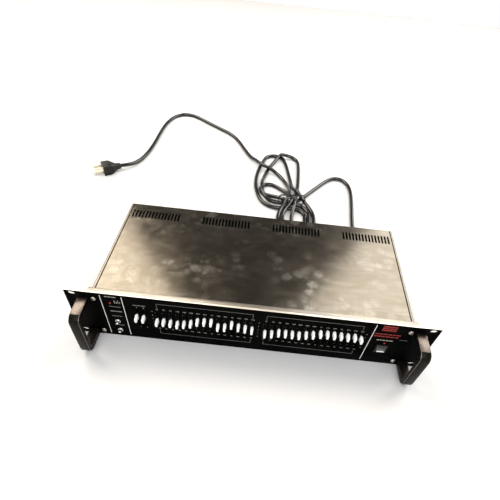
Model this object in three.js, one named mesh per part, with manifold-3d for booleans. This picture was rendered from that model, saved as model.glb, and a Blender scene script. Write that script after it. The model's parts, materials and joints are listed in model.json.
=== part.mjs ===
// Graphic equalizer: two channels of fifteen bands in a two-unit 19 inch rack case, with its cord.
// Millimetres, +Z up, +X to the right seen from the front, +Y towards the back.
// Inside the assembly group the front panel's face is at y = 0 and the underside at z = 0. The group
// itself is moved so that the origin is under the middle of the case, handles and sockets included.
import * as THREE from 'three';
import { mergeVertices } from 'three/addons/utils/BufferGeometryUtils.js';
import Module from 'manifold-3d';

const wasm = await Module();
wasm.setup();

// ---------------------------------------------------------------- driving dimensions
const GAP = 0.3;
const SHEET = 1.2;

const PANEL = { width: 482.6, height: 88.1, thick: 3 };
const RACK_SLOT = { x: 232.55, z: [5.95, 82.15], length: 10.3, height: 7 };
const FRAME = { half: 211.5, front: 3.3, back: 9, bottom: 0.3, top: 87.8 };
const FRAME_OPENING = { half: 199, bottom: 10, top: 78 };
const CASE = { half: 208, front: 9.3, rear: 193, top: 86.5 };
const REAR_WALL = { inside: 190.3, outside: 191.5 };
const TRAY_HALF = 206.4;
const VENT = { pitch: 5, perGroup: 15, width: 2.5, front: 161, back: 177 };
const VENT_GROUPS_X = [-163.6, -54.5, 54.5, 163.6];
const HANDLE = { x: 218.5, width: 13, reach: 37.5, bar: 6.2, bottom: 3, top: 78 };
const SCREW = { x: 205, z: [10, 77], head: 4, headHeight: 2.6, shank: 2 };

const BAND_PITCH = 9;
const BANK_A_X = -124.5;
const BANK_B_X = 19;
const LEVEL_FADERS_X = [-151, -142];
const FADER_Z = 47.5;
const SLOT = { width: 2, height: 35 };
// Height of each cap above the middle of its travel.
const LEVEL_SETTINGS = [6.4, 5.9];
const BANK_A_SETTINGS = [1.8, 3.4, 2.6, 1.3, 3.6, 6.4, 11.8, 13.4, 13.8, 5.4, 6.8, 13.5, 9.7, 8.3, 6.5];
const BANK_B_SETTINGS = [2.1, 3.5, 7.5, 7.2, 7, 6.8, 9.1, 11.1, 14.5, 14.8, 14.7, 14.6, 14, 14.4, 11.4];

const BUTTON_X = -180.6;
const BUTTON_Z = { eq_in: 35, low_cut: 15.5 };
const BUTTON = { radius: 1.95, front: -6.5, back: 9.5 };
const BUSHING = { nut: 3.8, thread: 3, bore: 2.3, front: -1.9, boreEnd: 13 };
const OVERLOAD_LED = { x: -184.8, z: 71 };
const POWER_LED = { x: 180.3, z: 48 };
const LED_RADIUS = 1.5;
const ROCKER = { x: 179.2, y: 1.2, z: 35.7, half: 6, tilt: 12 };
const ROCKER_BODY = { half: 7.1, halfHeight: 7.6, back: 16 };

const CORD_RADIUS = 3.8;
const CORD_LIE = 3.9;
const CORD_EXIT = { x: 176, y: 219, z: 20 };
const PLUG = { x: -309.5, y: 421.2, axis: 9.6, heading: 213 };
const HANK_HEIGHT = 23;
const SOCKET = { x: [-150, -132, -114, -96], z: 30, radius: 4.2, bore: 1.6, rim: 202.5 };
const FUSE = { x: 140, z: 20 };

// ---------------------------------------------------------------- shape helpers
const X = new THREE.Vector3(1, 0, 0);
const Y = new THREE.Vector3(0, 1, 0);
const Z = new THREE.Vector3(0, 0, 1);

// An outline is drawn in (y, z) for axis x, in (x, z) for axis y and in (x, y) for axis z.
function prism(outline, axis, from, to) {
  const shape = new THREE.Shape(outline.map(([a, b]) => new THREE.Vector2(a, b)));
  const geometry = new THREE.ExtrudeGeometry(shape, { depth: to - from, bevelEnabled: false });
  if (axis === 'x') {
    geometry.applyMatrix4(new THREE.Matrix4().makeBasis(Y, Z, X)).translate(from, 0, 0);
  } else if (axis === 'y') {
    geometry.applyMatrix4(new THREE.Matrix4().makeBasis(X, Z, Y.clone().negate())).translate(0, to, 0);
  } else {
    geometry.translate(0, 0, from);
  }
  return geometry;
}

function rectangle(a0, a1, b0, b1) {
  return [[a0, b0], [a1, b0], [a1, b1], [a0, b1]];
}

function block([x0, x1], [y0, y1], [z0, z1]) {
  return new THREE.BoxGeometry(x1 - x0, y1 - y0, z1 - z0)
    .translate((x0 + x1) / 2, (y0 + y1) / 2, (z0 + z1) / 2);
}

function ring(a, b, radius, sides = 12) {
  return Array.from({ length: sides }, (_, i) => {
    const turn = ((i + 0.5) / sides) * 2 * Math.PI;
    return [a + radius * Math.cos(turn), b + radius * Math.sin(turn)];
  });
}

// A slot with round ends, long side along the first direction.
function capsule(a, b, length, height, perEnd = 4) {
  const radius = height / 2;
  const straight = length / 2 - radius;
  return [1, -1].flatMap((side) => Array.from({ length: perEnd + 1 }, (_, i) => {
    const turn = Math.PI * (i / perEnd - 0.5);
    return [a + side * (straight + radius * Math.cos(turn)), b + side * radius * Math.sin(turn)];
  }));
}

// A turned piece about the Y axis; its profile lists [radius, y] from front to back.
function turned(profile, sides = 12) {
  return new THREE.LatheGeometry(profile.map(([radius, y]) => new THREE.Vector2(radius, y)), sides);
}

function solid(geometry) {
  const bare = geometry.clone();
  bare.deleteAttribute('normal');
  bare.deleteAttribute('uv');
  const merged = mergeVertices(bare, 1e-4);
  const corners = merged.index.array;
  const triangles = [];
  for (let i = 0; i < corners.length; i += 3) {
    const [a, b, c] = corners.slice(i, i + 3);
    if (a !== b && b !== c && c !== a) {
      triangles.push(a, b, c);
    }
  }
  return new wasm.Manifold(new wasm.Mesh({
    numProp: 3,
    vertProperties: new Float32Array(merged.attributes.position.array),
    triVerts: new Uint32Array(triangles),
  }));
}

function surface(manifold) {
  const mesh = manifold.getMesh();
  const geometry = new THREE.BufferGeometry();
  const positions = new Float32Array(mesh.vertProperties);
  geometry.setAttribute('position', new THREE.BufferAttribute(positions, 3));
  geometry.setIndex(new THREE.BufferAttribute(new Uint32Array(mesh.triVerts), 1));
  return geometry;
}

function join(...pieces) {
  return surface(pieces.map(solid).reduce((all, next) => all.add(next)));
}

function cut(base, ...tools) {
  return surface(tools.map(solid).reduce((rest, tool) => rest.subtract(tool), solid(base)));
}

function common(a, b) {
  return surface(solid(a).intersect(solid(b)));
}

function plate(outline, holes, axis, from, to) {
  const tools = holes.map((hole) => prism(hole, axis, from - 1, to + 1));
  return cut(prism(outline, axis, from, to), ...tools);
}

// ---------------------------------------------------------------- finishes and the assembly
const finish = (color, roughness, metalness) => ({ color, roughness, metalness });
const FINISH = {
  panel: finish(0x0b0b0c, 0.55, 0.1),
  case: finish(0x1d1a17, 0.35, 0.4),
  handle: finish(0x14120f, 0.5, 0.3),
  screw: finish(0xb9b8b2, 0.25, 1),
  cap: finish(0xf2f1ec, 0.4, 0),
  chrome: finish(0xc9c9c9, 0.12, 1),
  rocker: finish(0x4a4a48, 0.4, 0),
  redLens: finish(0xd23a3a, 0.2, 0),
  board: finish(0x2f5a35, 0.6, 0),
  black: finish(0x141414, 0.6, 0),
  core: finish(0x6f6a60, 0.6, 0.6),
  plug: finish(0x121212, 0.5, 0),
  cord: finish(0x0d0d0d, 0.35, 0),
};

const assembly = new THREE.Group();

function add(name, geometry, look, x = 0, y = 0, z = 0) {
  const mesh = new THREE.Mesh(geometry, new THREE.MeshStandardMaterial(look));
  mesh.name = name;
  mesh.position.set(x, y, z);
  assembly.add(mesh);
  return mesh;
}

const twoDigits = (number) => String(number).padStart(2, '0');
const faders = [
  ...LEVEL_FADERS_X.map((x, i) => ({ name: `level_fader_${'ab'[i]}`, x, setting: LEVEL_SETTINGS[i] })),
  ...BANK_A_SETTINGS.map((setting, i) => (
    { name: `band_a_${twoDigits(i + 1)}`, x: BANK_A_X + i * BAND_PITCH, setting })),
  ...BANK_B_SETTINGS.map((setting, i) => (
    { name: `band_b_${twoDigits(i + 1)}`, x: BANK_B_X + i * BAND_PITCH, setting })),
];

// ---------------------------------------------------------------- front panel, frame, handles, screws
function frontPanel() {
  const edge = PANEL.width / 2;
  const holes = [
    ...faders.map(({ x }) => rectangle(
      x - SLOT.width / 2, x + SLOT.width / 2, FADER_Z - SLOT.height / 2, FADER_Z + SLOT.height / 2)),
    ...[-1, 1].flatMap((side) => RACK_SLOT.z.map((z) => (
      capsule(side * RACK_SLOT.x, z, RACK_SLOT.length, RACK_SLOT.height)))),
    ...[-1, 1].flatMap((side) => SCREW.z.map((z) => ring(side * SCREW.x, z, SCREW.shank + GAP, 8))),
    ...Object.values(BUTTON_Z).map((z) => ring(BUTTON_X, z, BUSHING.thread + GAP)),
    ...[OVERLOAD_LED, POWER_LED].map(({ x, z }) => ring(x, z, LED_RADIUS + GAP, 10)),
    rectangle(
      ROCKER.x - ROCKER_BODY.half - GAP, ROCKER.x + ROCKER_BODY.half + GAP,
      ROCKER.z - ROCKER_BODY.halfHeight - GAP, ROCKER.z + ROCKER_BODY.halfHeight + GAP),
  ];
  return plate(rectangle(-edge, edge, 0, PANEL.height), holes, 'y', 0, PANEL.thick);
}

function frontFrame() {
  const holes = [
    rectangle(-FRAME_OPENING.half, FRAME_OPENING.half, FRAME_OPENING.bottom, FRAME_OPENING.top),
    ...[-1, 1].flatMap((side) => SCREW.z.map((z) => ring(side * SCREW.x, z, SCREW.shank + GAP, 8))),
  ];
  return plate(
    rectangle(-FRAME.half, FRAME.half, FRAME.bottom, FRAME.top), holes, 'y', FRAME.front, FRAME.back);
}

// A square-section bar bent forward, with both its ends on the panel.
function handle() {
  const { reach, bar, bottom, top, width } = HANDLE;
  const leg = bottom + 8.3;
  const outline = [
    [-GAP, top], [-28.5, top - 1], [-32.5, top - 2.5], [1.2 - reach, top - 6.5], [-reach, top - 11],
    [-reach, bottom + 11], [1.2 - reach, bottom + 5.5], [-32.5, bottom + 1.5], [-28.5, bottom],
    [-GAP, bottom],
    [-GAP, leg], [-27, leg], [1.1 + bar - reach, leg + 1.7], [bar - reach, leg + 5.7],
    [bar - reach, top - 16], [1.1 + bar - reach, top - 11], [-27, top - 8.5], [-GAP, top - 8],
  ];
  return prism(outline, 'x', -width / 2, width / 2);
}

function panelScrew() {
  const { head, headHeight, shank } = SCREW;
  const seat = -GAP;
  return turned([
    [0, seat - headHeight], [head * 0.6, seat - headHeight], [head, seat - headHeight * 0.45],
    [head, seat], [shank, seat], [shank, FRAME.back - GAP], [0, FRAME.back - GAP],
  ]);
}

add('front_panel', frontPanel(), FINISH.panel);
add('front_frame', frontFrame(), FINISH.case);
add('handle_left', handle(), FINISH.handle, -HANDLE.x);
add('handle_right', handle(), FINISH.handle, HANDLE.x);
for (const [side, sign] of [['left', -1], ['right', 1]]) {
  add(`panel_screw_${side}_lower`, panelScrew(), FINISH.screw, sign * SCREW.x, 0, SCREW.z[0]);
  add(`panel_screw_${side}_upper`, panelScrew(), FINISH.screw, sign * SCREW.x, 0, SCREW.z[1]);
}

// ---------------------------------------------------------------- case
function topCover() {
  const { half, front, rear, top } = CASE;
  const inner = half - SHEET;
  const outline = [
    [-half, GAP], [-inner, GAP], [-inner, top - SHEET], [inner, top - SHEET],
    [inner, GAP], [half, GAP], [half, top], [-half, top],
  ];
  const vents = VENT_GROUPS_X.flatMap((middle) => Array.from({ length: VENT.perGroup }, (_, i) => {
    const x = middle + (i - (VENT.perGroup - 1) / 2) * VENT.pitch;
    return block(
      [x - VENT.width / 2, x + VENT.width / 2], [VENT.front, VENT.back], [top - 2 * SHEET, top + 1]);
  }));
  return cut(prism(outline, 'y', front, rear), ...vents);
}

// Floor, rear wall and the low lips that the cover and the front frame are screwed to.
function chassisTray() {
  const { inside, outside } = REAR_WALL;
  const front = CASE.front;
  const wallTop = CASE.top - SHEET - GAP;
  const edge = TRAY_HALF;
  const body = join(
    block([-edge, edge], [front, outside], [0, SHEET]),
    block([-edge, edge], [inside, outside], [0, wallTop]),
    block([-edge, edge], [front, front + SHEET], [0, 4]),
    block([-edge, SHEET - edge], [front, outside], [0, 14]),
    block([edge - SHEET, edge], [front, outside], [0, 14]),
  );
  return cut(
    body,
    prism(ring(CORD_EXIT.x, CORD_EXIT.z, 6.4), 'y', inside - 1, outside + 1),
    prism(ring(FUSE.x, FUSE.z, 6.4), 'y', inside - 1, outside + 1),
    block(
      [SOCKET.x[0] - 8.4, SOCKET.x[3] + 8.4], [inside - 1, outside + 1],
      [SOCKET.z - 7.4, SOCKET.z + 7.4]),
  );
}

add('top_cover', topCover(), FINISH.case);
add('chassis_tray', chassisTray(), FINISH.case);

// ---------------------------------------------------------------- faders
const CAP = { height: 6, neck: 2.4, skirt: 4, grip: 7, front: 12.5 };
const LEVER = { half: 0.7, halfHeight: 2, back: 13.6 };

// A cap with a wide skirt and a narrower grip, pushed on to the fader's flat lever.
function faderCap() {
  const right = [
    [0.9, -CAP.neck], [2.6, -CAP.skirt], [2.6, -CAP.grip], [2.1, -CAP.grip - 0.6],
    [2.1, 0.9 - CAP.front], [1.3, -CAP.front],
  ];
  const left = right.map(([x, y]) => [-x, y]).reverse();
  return join(
    prism([...right, ...left], 'z', -CAP.height / 2, CAP.height / 2),
    block([-LEVER.half, LEVER.half], [-CAP.skirt, LEVER.back], [-LEVER.halfHeight, LEVER.halfHeight]),
  );
}

// The circuit board behind the panel with all thirty-two slide potentiometers soldered on.
function faderBoard() {
  const pot = { half: 3.8, height: 46, front: 10.3, board: 17, channel: 1.1, channelDepth: 4.2 };
  const board = block([-160, 152], [pot.board, pot.board + 1.6], [5, 83]);
  const bodies = faders.map(({ x }) => block(
    [x - pot.half, x + pot.half], [pot.front, pot.board + 0.5],
    [FADER_Z - pot.height / 2, FADER_Z + pot.height / 2]));
  const posts = [-134, 8, 148].flatMap((x) => [7.5, 80.5].map((z) => (
    prism(ring(x, z, 2.5, 6), 'y', CASE.front, pot.board + 0.5))));
  const channels = faders.map(({ x }) => block(
    [x - pot.channel, x + pot.channel], [pot.front - 1, pot.front + pot.channelDepth],
    [FADER_Z - SLOT.height / 2 - 1, FADER_Z + SLOT.height / 2 + 1]));
  return cut(join(board, ...bodies, ...posts), ...channels);
}

add('fader_board', faderBoard(), FINISH.board);
for (const { name, x, setting } of faders) {
  add(name, faderCap(), FINISH.cap, x, 0, FADER_Z + setting);
}

// ---------------------------------------------------------------- switches and lamps
function buttonSwitch() {
  const { nut, thread, bore, front, boreEnd } = BUSHING;
  const body = join(
    prism(ring(0, 0, nut), 'y', front, -GAP),
    prism(ring(0, 0, thread), 'y', -2 * GAP, PANEL.thick + 1),
    block([-4.2, 4.2], [PANEL.thick + GAP, 20], [-4.2, 4.2]),
  );
  return cut(body, prism(ring(0, 0, bore), 'y', front - 1, boreEnd));
}

function button() {
  const { radius, front, back } = BUTTON;
  return turned([[0, front], [radius - 0.5, front], [radius, front + 0.5], [radius, back], [0, back]]);
}

for (const [name, z] of Object.entries(BUTTON_Z)) {
  add(`${name}_switch`, buttonSwitch(), FINISH.chrome, BUTTON_X, 0, z);
  add(`${name}_button`, button(), FINISH.chrome, BUTTON_X, 0, z);
}

function lamp() {
  const r = LED_RADIUS;
  const seat = PANEL.thick + GAP;
  return turned([
    [0, -1.6], [r * 0.7, -1.2], [r, -0.2], [r, seat], [r + 0.5, seat], [r + 0.5, seat + 1],
    [r, seat + 1.5], [r, seat + 4.5], [0, seat + 4.5],
  ], 10);
}

add('overload_led', lamp(), FINISH.redLens, OVERLOAD_LED.x, 0, OVERLOAD_LED.z);
add('power_led', lamp(), FINISH.redLens, POWER_LED.x, 0, POWER_LED.z);

// The rocker's pivot pins turn in blind pockets in the housing's side walls.
const PIVOT = { radius: 1, reach: 6.5, pocket: 6.85 };

function rockerHousing() {
  const { half, halfHeight, back } = ROCKER_BODY;
  const body = join(
    block([-half - 1.1, half + 1.1], [-1.5, -GAP], [-halfHeight - 1.1, halfHeight + 1.1]),
    block([-half, half], [-1, back], [-halfHeight, halfHeight]),
    block([-4, -3.2], [back - 1, back + 6], [-2.4, 2.4]),
    block([3.2, 4], [back - 1, back + 6], [-2.4, 2.4]),
  );
  return cut(
    body,
    block([-ROCKER.half - GAP, ROCKER.half + GAP], [-3, 9], [-6.7, 6.7]),
    prism(ring(ROCKER.y, 0, PIVOT.radius + GAP, 10), 'x', -PIVOT.pocket, PIVOT.pocket),
  );
}

function rocker() {
  const outline = [
    [-3.9, -5.6], [-3.2, 0], [-3.9, 5.6], [0.8, 5.2], [3.2, 2.5], [3.2, -2.5], [0.8, -5.2],
  ];
  return join(
    prism(outline, 'x', -ROCKER.half, ROCKER.half),
    prism(ring(0, 0, PIVOT.radius, 10), 'x', -PIVOT.reach, PIVOT.reach),
  );
}

add('power_switch_housing', rockerHousing(), FINISH.black, ROCKER.x, 0, ROCKER.z);
const rockerMesh = add('power_rocker', rocker(), FINISH.rocker, ROCKER.x, ROCKER.y, ROCKER.z);
rockerMesh.rotation.x = THREE.MathUtils.degToRad(-ROCKER.tilt);

// ---------------------------------------------------------------- inside the case
function mainBoard() {
  const top = 9.6;
  const board = block([-185, 95], [45, 172], [8, top]);
  const posts = [-178, 88].flatMap((x) => [52, 165].map((y) => (
    prism(ring(x, y, 3, 6), 'z', SHEET + GAP, 8.2))));
  const chips = Array.from({ length: 8 }, (_, i) => {
    const x = -160 + 27 * i;
    return block([x, x + 19], [70, 77], [top - 0.2, top + 4.5]);
  });
  const filterCans = Array.from({ length: 4 }, (_, i) => (
    prism(ring(30 + 18 * i, 145, 7, 10), 'z', top - 0.2, top + 26)));
  const heatSink = block([-150, -90], [140, 143], [top - 0.2, top + 30]);
  return join(board, ...posts, ...chips, ...filterCans, heatSink);
}

function transformer() {
  return join(
    block([-37, 37], [-14, 14], [0, 2]),
    block([-28, 28], [-13, 13], [1, 47]),
    block([-18, 18], [-23, 23], [10, 38]),
  );
}

add('main_board', mainBoard(), FINISH.board);
add('mains_transformer', transformer(), FINISH.core, 150, 105, SHEET + GAP);

// ---------------------------------------------------------------- rear wall fittings
function phonoSockets() {
  const { x, z, radius, bore, rim } = SOCKET;
  const seat = REAR_WALL.outside + GAP;
  const body = join(
    block([x[0] - 11, x[3] + 11], [seat, seat + 2.4], [z - 10, z + 10]),
    block([x[0] - 8, x[3] + 8], [180, seat + 1], [z - 7, z + 7]),
    ...x.map((middle) => prism(ring(middle, z, radius), 'y', seat + 1, rim)),
  );
  return cut(body, ...x.map((middle) => prism(ring(middle, z, bore, 8), 'y', rim - 9, rim + 1)));
}

function fuseHolder() {
  const seat = REAR_WALL.outside + GAP;
  return turned([
    [0, 160], [5.8, 160], [6, 162], [6, seat], [8.5, seat], [8.5, seat + 2], [6.6, seat + 2.4],
    [6.2, seat + 9.5], [0, seat + 9.5],
  ]);
}

function strainRelief() {
  const seat = REAR_WALL.outside + GAP;
  return turned([
    [0, 185], [7.6, 185], [7.6, REAR_WALL.inside - GAP], [6, REAR_WALL.inside - GAP], [6, seat],
    [8, seat], [8, seat + 2], [6.4, seat + 3.5], [4.9, CORD_EXIT.y], [0, CORD_EXIT.y],
  ]);
}

add('phono_sockets', phonoSockets(), FINISH.black);
add('fuse_holder', fuseHolder(), FINISH.black, FUSE.x, 0, FUSE.z);
add('strain_relief', strainRelief(), FINISH.black, CORD_EXIT.x, 0, CORD_EXIT.z);

// ---------------------------------------------------------------- mains cord
// The lead runs from the strain relief to the hank, and the tail from the hank to the plug.
const LEAD_ROUTE = [
  [CORD_EXIT.x, CORD_EXIT.y + GAP, CORD_EXIT.z], [176, 228, 19.6], [176.1, 240, 16.8],
  [176.3, 253, 12], [176.6, 267, 7.4], [176.9, 282, 4.6], [177.4, 300, CORD_LIE], [179, 330, CORD_LIE],
  [181.6, 362, CORD_LIE], [183.6, 392, CORD_LIE], [184.4, 418, CORD_LIE], [182.8, 440, CORD_LIE],
  [176.5, 458, CORD_LIE], [165.5, 469, CORD_LIE], [151.5, 470, CORD_LIE], [138, 460.5, CORD_LIE],
  [124, 443.5, CORD_LIE], [106.3, 419, CORD_LIE], [84.6, 388, CORD_LIE],
];
const TAIL_ROUTE = [
  [-26.1, 506.4, 8], [-38, 522.5, 5.2], [-54.5, 554, 4.1], [-70, 586, CORD_LIE], [-85, 611, CORD_LIE],
  [-101, 628.5, CORD_LIE], [-127, 648, CORD_LIE], [-156, 669.5, CORD_LIE], [-184, 691, CORD_LIE],
  [-207, 703.5, CORD_LIE], [-229, 703, CORD_LIE], [-247, 687, CORD_LIE], [-257.5, 661, CORD_LIE],
  [-263, 630, CORD_LIE], [-265.5, 587, CORD_LIE], [-267, 541, CORD_LIE], [-271, 497, CORD_LIE],
  [-278.5, 462, 4.6], [-288, 441, 6.6], [-298, 429.2, 8.6], [-309.2, 421.4, PLUG.axis],
];
// Seen from above, round the loops of the hank; one edge faces the lead and one faces the tail.
const HANK_OUTLINE = [
  [66, 252], [80, 249.5], [94, 252.5], [104, 262], [107, 280], [107, 320], [103, 342], [97, 360],
  [91, 383.1], [77.8, 392.3], [77.5, 425], [79, 475], [77, 522], [68, 541], [48, 548.5], [16, 548],
  [-6, 542], [-13, 527], [-17.5, 511], [-33, 499.5], [-29, 455], [-26.5, 420], [-20, 388], [-10, 360],
  [8, 337], [28, 333], [27, 297], [31, 281], [44, 269], [55, 264],
];

function tube(route) {
  const points = route.map((point) => new THREE.Vector3(...point));
  const curve = new THREE.CatmullRomCurve3(points, false, 'centripetal');
  const rim = ring(0, 0, CORD_RADIUS, 10);
  const section = new THREE.Shape(rim.map(([a, b]) => new THREE.Vector2(a, b)));
  const steps = Math.round(curve.getLength() / (5 * CORD_RADIUS));
  return new THREE.ExtrudeGeometry(section, { steps, extrudePath: curve, bevelEnabled: false });
}

// Moulded body lying on one side, neck at x = 0, with two flat blades and a round earth pin.
function mainsPlug() {
  const plan = [
    [0, -4.8], [10, -5.4], [22, -12.5], [38, -12.5], [38, 12.5], [22, 12.5], [10, 5.4], [0, 4.8],
  ];
  const side = [
    [0, 4.8], [10, 4], [20, 0.2], [38, 0.2], [38, 20], [20, 20], [10, 15.2], [0, 14.4],
  ];
  const lyingSide = prism(side, 'y', -20, 20);
  return join(
    common(prism(plan, 'z', -1, 25), lyingSide),
    block([37, 55.5], [-7.1, -5.6], [10.5, 16.8]),
    block([37, 55.5], [5.6, 7.1], [10.5, 16.8]),
    prism(ring(0, 5, 2.4, 10), 'x', 37, 58),
  );
}

add('cord_lead', tube(LEAD_ROUTE), FINISH.cord);
add('cord_hank', prism(HANK_OUTLINE, 'z', 0, HANK_HEIGHT), FINISH.cord);
add('cord_tail', tube(TAIL_ROUTE), FINISH.cord);
const plug = add('mains_plug', mainsPlug(), FINISH.plug, PLUG.x, PLUG.y, 0);
plug.rotation.z = THREE.MathUtils.degToRad(PLUG.heading);

// ---------------------------------------------------------------- the whole object
const equalizer = new THREE.Group();
equalizer.add(assembly);
assembly.position.y = (HANDLE.reach - SOCKET.rim) / 2;

export default equalizer;
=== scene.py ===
"""Looks for the graphic equalizer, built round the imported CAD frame. Metres, +Z up, +Y to the back."""

import json
import math

import bmesh
import bpy
import numpy as np
from mathutils import Matrix, Vector


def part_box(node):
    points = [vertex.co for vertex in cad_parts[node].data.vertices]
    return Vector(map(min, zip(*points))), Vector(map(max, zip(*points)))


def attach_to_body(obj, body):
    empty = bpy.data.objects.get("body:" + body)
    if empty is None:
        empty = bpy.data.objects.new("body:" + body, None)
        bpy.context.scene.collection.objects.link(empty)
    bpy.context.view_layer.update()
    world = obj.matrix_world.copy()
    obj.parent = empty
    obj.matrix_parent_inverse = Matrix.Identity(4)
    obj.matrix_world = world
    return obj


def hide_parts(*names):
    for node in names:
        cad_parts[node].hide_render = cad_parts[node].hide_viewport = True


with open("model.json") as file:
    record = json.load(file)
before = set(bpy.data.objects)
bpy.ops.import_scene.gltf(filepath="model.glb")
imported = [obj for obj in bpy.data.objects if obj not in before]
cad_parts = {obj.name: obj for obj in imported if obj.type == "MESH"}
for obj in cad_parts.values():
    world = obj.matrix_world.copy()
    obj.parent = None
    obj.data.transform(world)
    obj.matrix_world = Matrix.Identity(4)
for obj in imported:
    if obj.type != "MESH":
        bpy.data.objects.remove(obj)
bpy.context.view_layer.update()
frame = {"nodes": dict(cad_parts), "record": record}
NODES = frame["nodes"]
SLOT_OF = {part["node"]: part["material_slot"] for part in frame["record"]["subparts"]}
SIDES = {"left": -1, "right": 1}
MM = 0.001
# The panel's face, which is y = 0 in the part's own measure.
PANEL_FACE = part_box("front_panel")[0].y


def place(x, y, z):
    """A point of the frame, from millimetres measured from the foot of the panel's face."""
    return Vector((x * MM, PANEL_FACE + y * MM, z * MM))


def measured(point):
    """The other way: a point of the frame in the part's own millimetres."""
    return (point - Vector((0, PANEL_FACE, 0))) / MM


def put_in_scene(name, data):
    made = bpy.data.objects.new(name, data)
    bpy.context.scene.collection.objects.link(made)
    return made


# ------------------------------------------------------------------ camera
CAMERA_PLACE = (-5.4, -306.2, 461.3)
# Degrees: to the left of straight back, down from level, and tilt.
CAMERA_AZIMUTH, CAMERA_ELEVATION, CAMERA_ROLL = -0.179, 49.278, 6.29
CAMERA_LENS, CAMERA_SHIFT = 27.56, (-0.001, 0.101)


def make_camera():
    camera = put_in_scene("camera", bpy.data.cameras.new("camera"))
    azimuth, elevation = math.radians(CAMERA_AZIMUTH), math.radians(CAMERA_ELEVATION)
    level = math.cos(elevation)
    forward = Vector((-math.sin(azimuth) * level, math.cos(azimuth) * level, -math.sin(elevation)))
    aim = forward.to_track_quat("-Z", "Y").to_matrix().to_4x4()
    roll = Matrix.Rotation(math.radians(CAMERA_ROLL), 4, "Z")
    camera.matrix_world = Matrix.Translation(place(*CAMERA_PLACE)) @ aim @ roll
    camera.data.lens = CAMERA_LENS
    camera.data.shift_x, camera.data.shift_y = CAMERA_SHIFT
    bpy.context.scene.camera = camera


make_camera()

# ------------------------------------------------------------------ mains cord
CORD_DIAMETER = 7.6
# Heights of the cord's middle: on the floor, and over one other pass of the cord.
LOW, MID = 3.9, 11.6
LEAD = [
    (176, 219.3, 20), (176, 228, 19.6), (176.1, 240, 16.8), (176.3, 253, 12), (176.6, 267, 7.4),
    (176.9, 282, 4.6), (177.4, 300, LOW), (179, 330, LOW), (181.6, 362, LOW), (183.6, 392, LOW),
    (184.4, 418, LOW), (182.8, 440, LOW), (176.5, 458, LOW), (165.5, 469, LOW), (151.5, 470, LOW),
    (138, 460.5, LOW), (124, 443.5, LOW), (106.3, 419, LOW), (84.6, 388, LOW),
]
# The hank is a figure of eight: three large loops behind the crossing and three small ones before it.
HANK = [
    (76, 377, LOW), (68, 368.5, LOW), (58, 363.5, LOW), (46, 360.5, LOW), (33, 358.5, LOW),
    (21, 358.5, LOW), (9.5, 363.5, LOW), (1, 373, 5), (-4, 385, 9), (-6, 400, MID), (-6, 418, MID),
    (-4.5, 434, 8), (-2, 450, LOW), (3, 473, LOW), (10, 496, LOW), (18, 514, 8), (26.2, 530, MID),
    (35, 538.8, MID), (47, 542, 8), (59, 538.8, LOW), (67.8, 530, LOW), (71, 518, LOW),
    (72, 500, LOW), (72, 475, LOW), (71.6, 450, LOW), (70.5, 425, LOW), (69, 402, 5), (67, 382, 10),
    (65, 365, MID), (63, 346, MID), (60, 326, 8), (58, 308, LOW), (58, 290, LOW), (58, 276, LOW),
    (61, 265, LOW), (69, 257, LOW), (80, 254, LOW), (91, 257, LOW), (99, 265, LOW), (102, 276, LOW),
    (102, 295, LOW), (102, 315, LOW), (100, 332, LOW), (94.5, 347, 5), (87, 359, 9),
    (79, 371, 12.6), (72, 382, 15.6), (66, 393, 15.6), (60.5, 405, 9), (57, 420, LOW),
    (54, 442, LOW), (49, 474, LOW), (44, 503, LOW), (40, 518, LOW), (36.9, 529.5, LOW),
    (28.5, 537.9, LOW), (17, 541, LOW), (5.5, 537.9, LOW), (-2.9, 529.5, LOW), (-7, 517, LOW),
    (-11, 500, LOW), (-15.5, 480, LOW), (-19, 455, LOW), (-20, 430, LOW), (-18.7, 407, LOW),
    (-14.5, 386, LOW), (-8, 366, LOW), (1.5, 351.5, LOW), (14.5, 342.5, LOW), (30, 339, LOW),
    (45, 340, LOW), (58, 341, LOW), (70, 339, LOW), (79.5, 332, LOW), (84, 321, LOW),
    (84, 310, LOW), (84, 300, LOW), (81, 289, 6), (73, 281, 10), (62, 278, MID), (51, 281, 10),
    (43, 289, 6), (40, 300, LOW), (40, 313, LOW), (44, 327, 6), (51, 340, 10), (56, 352, 12.6),
    (57.5, 366, 12.6), (53.5, 381, 9), (45.5, 394, 5), (35.5, 404.5, LOW), (25, 413.5, LOW),
    (14, 419.5, LOW), (3.5, 418.5, LOW), (-5, 411.5, LOW), (-8, 400, LOW), (-5, 388.5, LOW),
    (3.5, 380.5, LOW), (14, 377, LOW), (24, 373, 6), (34, 366.5, 10), (43, 358.5, MID),
    (53, 354, 8), (64, 353.5, 5), (76, 351.5, LOW), (86, 343, LOW), (91.5, 331, LOW),
    (92, 315, LOW), (92, 299, LOW), (88, 284, 6), (77, 273, 10), (62, 269, MID), (47, 273, 10),
    (36, 284, 6), (32, 299, LOW), (32, 312, LOW), (36, 328, 6), (43, 344, MID), (48.5, 357, 17.6),
    (50.5, 372, 18.6), (51, 388, 17.6), (49.5, 408, 10), (44, 430, 5), (33, 452, LOW), (19, 467, 7),
    (4, 475.5, 12.6), (-9, 484, 12.6), (-19, 495, MID),
]
TAIL = [
    (-26.1, 506.4, 8), (-38, 522.5, 5.2), (-54.5, 554, 4.1), (-70, 586, LOW), (-85, 611, LOW),
    (-101, 628.5, LOW), (-127, 648, LOW), (-156, 669.5, LOW), (-184, 691, LOW), (-207, 703.5, LOW),
    (-229, 703, LOW), (-247, 687, LOW), (-257.5, 661, LOW), (-263, 630, LOW), (-265.5, 587, LOW),
    (-267, 541, LOW), (-271, 497, LOW), (-278.5, 462, 4.6), (-288, 441, 6.6), (-298, 429.2, 8.6),
    (-309.2, 421.4, 9.6),
]
CORD_STEP = 4.0
CURVE_SAMPLES = 24
# Two passes can only cross when this many diameters of cord lie between them.
CROSSING_GAP = 2.2
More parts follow.
